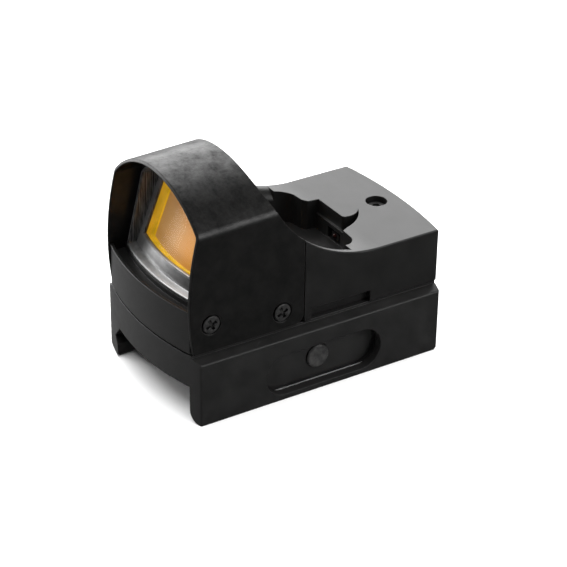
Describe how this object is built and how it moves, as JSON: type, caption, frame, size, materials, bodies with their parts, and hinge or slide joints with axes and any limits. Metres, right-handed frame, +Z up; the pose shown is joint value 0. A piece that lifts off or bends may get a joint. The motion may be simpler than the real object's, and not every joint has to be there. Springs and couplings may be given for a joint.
{
  "type": "red dot finder",
  "caption": "Mini reflex red dot sight: a curved amber lens in a short arched hood on a low housing, with a base that clamps to an accessory rail.",
  "frame": {"origin": "on the plane of the rail seat, in the sight's middle plane, 0.35 mm in front of the cross bolt's axis; the jaws hang 5.9 mm below it", "axes": "+Z up, +Y towards the eye along the rail, so the lens looks along -Y; +X is the side with the sliding clamp bar, and the cross bolt's head is on -X"},
  "size_m": [0.0284, 0.0464, 0.0369],
  "materials": {
    "base_black": "fine matt black anodising, worn along the shelf",
    "housing_black": "satin black anodising",
    "hood_black": "finely textured black coating",
    "bezel_black": "satin black",
    "steel_black": "blackened steel",
    "steel_bare": "bright steel",
    "spring_steel": "drawn wire and strip",
    "rubber_black": "matt",
    "plastic_black": "matt moulded",
    "contact_brass": "rolled strip",
    "nut_brass": "machined",
    "battery_steel": "nickel plated",
    "board_green": "solder mask",
    "led_clear": "clear, pale red",
    "lens_glass": "amber reflective coating"
  },
  "bodies": {
    "sight": {"base": "base_black", "bolt_washer": "steel_bare", "clamp_springs": "spring_steel", "locating_pins": "steel_bare", "mounting_screws": "steel_black", "base_gasket": "rubber_black", "housing": "housing_black", "hood": "hood_black", "hood_screws": "steel_black", "lens_bezel": "bezel_black", "lens": "lens_glass", "lens_retainer": "bezel_black", "lens_seal": "rubber_black", "battery": "battery_steel", "battery_tray": "plastic_black", "battery_contact": "contact_brass", "side_contact": "contact_brass", "circuit_board": "board_green", "control_chip": "plastic_black", "light_sensor": "plastic_black", "elevation_clip": "spring_steel", "windage_clip": "spring_steel", "windage_spring": "spring_steel"},
    "clamp_bolt": {"cross_bolt": "steel_black"},
    "clamp": {"clamp_bar": "steel_black"},
    "elevation_adjuster": {"elevation_screw": "steel_black"},
    "elevation_carrier": {"elevation_nut": "nut_brass"},
    "emitter_arm": {"led_arm": "plastic_black", "led_mask": "steel_black", "led": "led_clear"},
    "windage_adjuster": {"windage_screw": "steel_black"},
    "windage_carrier": {"windage_nut": "nut_brass"}
  },
  "joints": [
    {"name": "clamp_slide", "type": "slide", "parent": "sight", "child": "clamp", "axis": [1, 0, 0], "range_m": [0, 0.0012], "deforming": ["clamp_springs"]},
    {"name": "bolt_turn", "type": "hinge", "parent": "sight", "child": "clamp_bolt", "pos_m": [-0.0119, 0.00035, -0.00145], "axis": [-1, 0, 0], "range_deg": [0, 618]},
    {"name": "elevation_slide", "type": "slide", "parent": "sight", "child": "elevation_carrier", "axis": [0, 0, 1], "range_m": [-0.0003, 0.0003]},
    {"name": "elevation_turn", "type": "hinge", "parent": "sight", "child": "elevation_adjuster", "pos_m": [0, 0.01885, 0.0122], "axis": [0, 0, -1], "range_deg": [-271, 271]},
    {"name": "windage_slide", "type": "slide", "parent": "sight", "child": "windage_carrier", "axis": [1, 0, 0], "range_m": [-0.00015, 0.00015], "deforming": ["windage_spring"]},
    {"name": "windage_turn", "type": "hinge", "parent": "sight", "child": "windage_adjuster", "pos_m": [-0.0107, 0.015, 0.0083], "axis": [-1, 0, 0], "range_deg": [-217, 217]},
    {"name": "emitter_swing", "type": "hinge", "parent": "elevation_carrier", "child": "emitter_arm", "pos_m": [0, 0.01885, 0.01035], "axis": [0, 0, 1], "range_deg": [-2.3, 2.3]}
  ],
  "couplings": [
    {"joint": "bolt_turn", "follows": "clamp_slide", "rad_per_m": 8976},
    {"joint": "elevation_turn", "follows": "elevation_slide", "rad_per_m": 15708},
    {"joint": "windage_turn", "follows": "windage_slide", "rad_per_m": 25133},
    {"joint": "emitter_swing", "follows": "windage_slide", "rad_per_m": 259.74}
  ]
}
